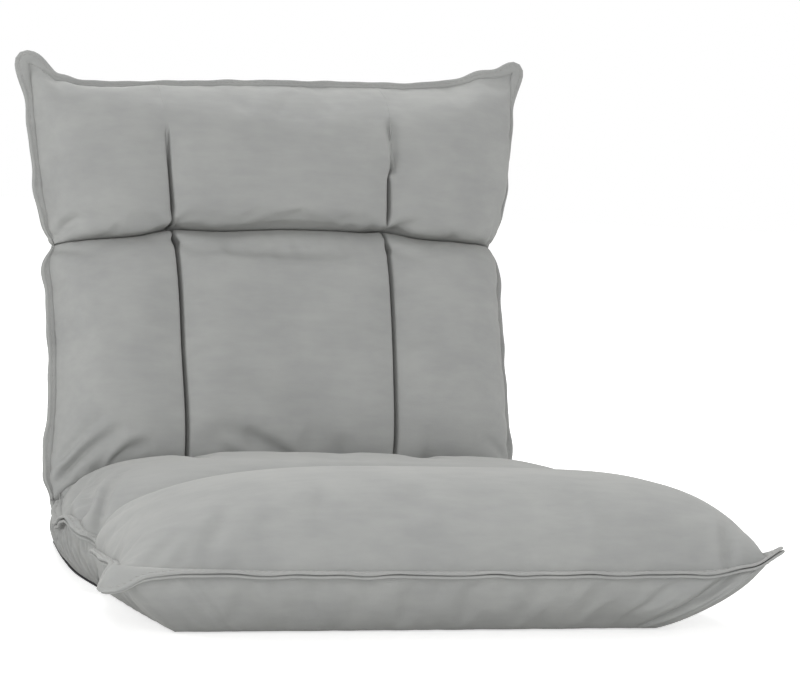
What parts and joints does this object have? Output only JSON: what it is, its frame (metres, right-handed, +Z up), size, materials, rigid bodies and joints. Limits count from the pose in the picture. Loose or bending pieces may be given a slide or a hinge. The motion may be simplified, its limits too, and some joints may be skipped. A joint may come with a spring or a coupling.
{
  "type": "folding floor chair",
  "caption": "Legless folding floor chair: padded head, back, seat and leg sections in grey velour on hinged steel frames held by ratchets.",
  "frame": {"origin": "on the floor under the middle of the chair's bounding box in its sitting position", "axes": "+Z up, +Y from the leg section to the back rest, +X to the right seen from the front"},
  "size_m": [0.63, 0.7004, 0.5232],
  "materials": {
    "velour": "brushed velour, light grey",
    "foam": "open cell foam",
    "black_felt": "non-woven, matt",
    "webbing": "woven elastic",
    "painted_tube": "satin powder coat",
    "zinc_steel": "zinc plated"
  },
  "bodies": {
    "seat": {"seat_left_tube": "painted_tube", "seat_right_tube": "painted_tube", "seat_front_bar": "painted_tube", "seat_rear_bar": "painted_tube", "seat_webbing": "webbing", "seat_foam": "foam", "seat_cushion": "velour", "seat_base_panel": "black_felt", "back_fold_strip": "black_felt", "back_hinge_left_outer_cheek": "zinc_steel", "back_hinge_left_inner_cheek": "zinc_steel", "back_hinge_left_pawl": "zinc_steel", "back_hinge_left_rivet": "zinc_steel", "back_hinge_right_outer_cheek": "zinc_steel", "back_hinge_right_inner_cheek": "zinc_steel", "back_hinge_right_pawl": "zinc_steel", "back_hinge_right_rivet": "zinc_steel", "leg_hinge_left_outer_cheek": "zinc_steel", "leg_hinge_left_inner_cheek": "zinc_steel", "leg_hinge_left_pawl": "zinc_steel", "leg_hinge_left_rivet": "zinc_steel", "leg_hinge_right_outer_cheek": "zinc_steel", "leg_hinge_right_inner_cheek": "zinc_steel", "leg_hinge_right_pawl": "zinc_steel", "leg_hinge_right_rivet": "zinc_steel"},
    "leg": {"leg_frame": "painted_tube", "leg_bar": "painted_tube", "leg_webbing": "webbing", "leg_foam": "foam", "leg_cushion": "velour", "leg_base_panel": "black_felt", "leg_hinge_left_toothed_arm": "zinc_steel", "leg_hinge_right_toothed_arm": "zinc_steel"},
    "back": {"back_left_tube": "painted_tube", "back_right_tube": "painted_tube", "back_lower_bar": "painted_tube", "back_upper_bar": "painted_tube", "back_webbing": "webbing", "back_foam": "foam", "back_cushion": "velour", "back_rear_panel": "black_felt", "back_hinge_left_toothed_arm": "zinc_steel", "back_hinge_right_toothed_arm": "zinc_steel", "head_hinge_left_outer_cheek": "zinc_steel", "head_hinge_left_inner_cheek": "zinc_steel", "head_hinge_left_pawl": "zinc_steel", "head_hinge_left_rivet": "zinc_steel", "head_hinge_right_outer_cheek": "zinc_steel", "head_hinge_right_inner_cheek": "zinc_steel", "head_hinge_right_pawl": "zinc_steel", "head_hinge_right_rivet": "zinc_steel"},
    "head": {"head_frame": "painted_tube", "head_bar": "painted_tube", "head_webbing": "webbing", "head_foam": "foam", "head_cushion": "velour", "head_rear_panel": "black_felt", "head_hinge_left_toothed_arm": "zinc_steel", "head_hinge_right_toothed_arm": "zinc_steel"}
  },
  "joints": [
    {"name": "leg_raise", "type": "hinge", "parent": "seat", "child": "leg", "pos_m": [0, -0.08119, 0.024], "axis": [-1, 0, 0], "range_deg": [0, 40], "deforming": ["leg_cushion", "leg_foam"]},
    {"name": "back_recline", "type": "hinge", "parent": "seat", "child": "back", "pos_m": [0, 0.20381, 0.024], "axis": [-1, 0, 0], "range_deg": [-45, 72], "deforming": ["seat_cushion", "seat_foam", "back_cushion", "back_foam", "back_fold_strip"]},
    {"name": "head_tilt", "type": "hinge", "parent": "back", "child": "head", "pos_m": [0, 0.29651, 0.30932], "axis": [1, 0, 0], "range_deg": [-8, 40], "deforming": ["head_cushion", "head_foam"]}
  ]
}
